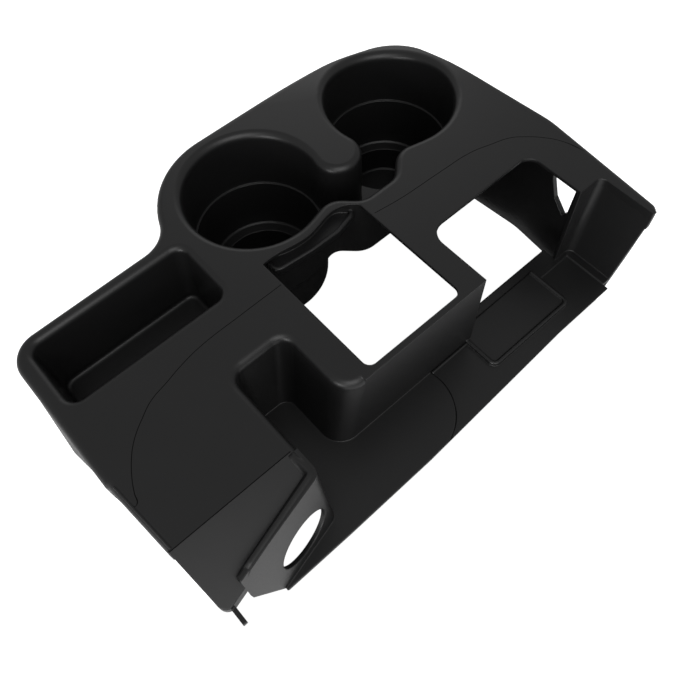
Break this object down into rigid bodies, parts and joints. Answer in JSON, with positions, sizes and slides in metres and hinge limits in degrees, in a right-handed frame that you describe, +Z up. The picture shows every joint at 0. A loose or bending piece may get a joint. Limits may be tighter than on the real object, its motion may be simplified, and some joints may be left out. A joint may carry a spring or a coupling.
{
  "type": "car cup holder",
  "caption": "Moulded floor-console shell for a vehicle: round cup wells joined by a handle bay, a coin tray, cut-outs in the deck and a low open shelf.",
  "frame": {"origin": "middle of the overall box, on the plane that the cup wells and end skirts stand on", "axes": "+Z up out of the cups, +X along the deck from the tray end to the other end, +Y from the open shelf towards the cups"},
  "size_m": [0.3534, 0.2454, 0.107],
  "materials": {
    "black_plastic": "fine-grained satin black plastic"
  },
  "bodies": {
    "root": {"console_shell": "black_plastic"}
  },
  "joints": []
}
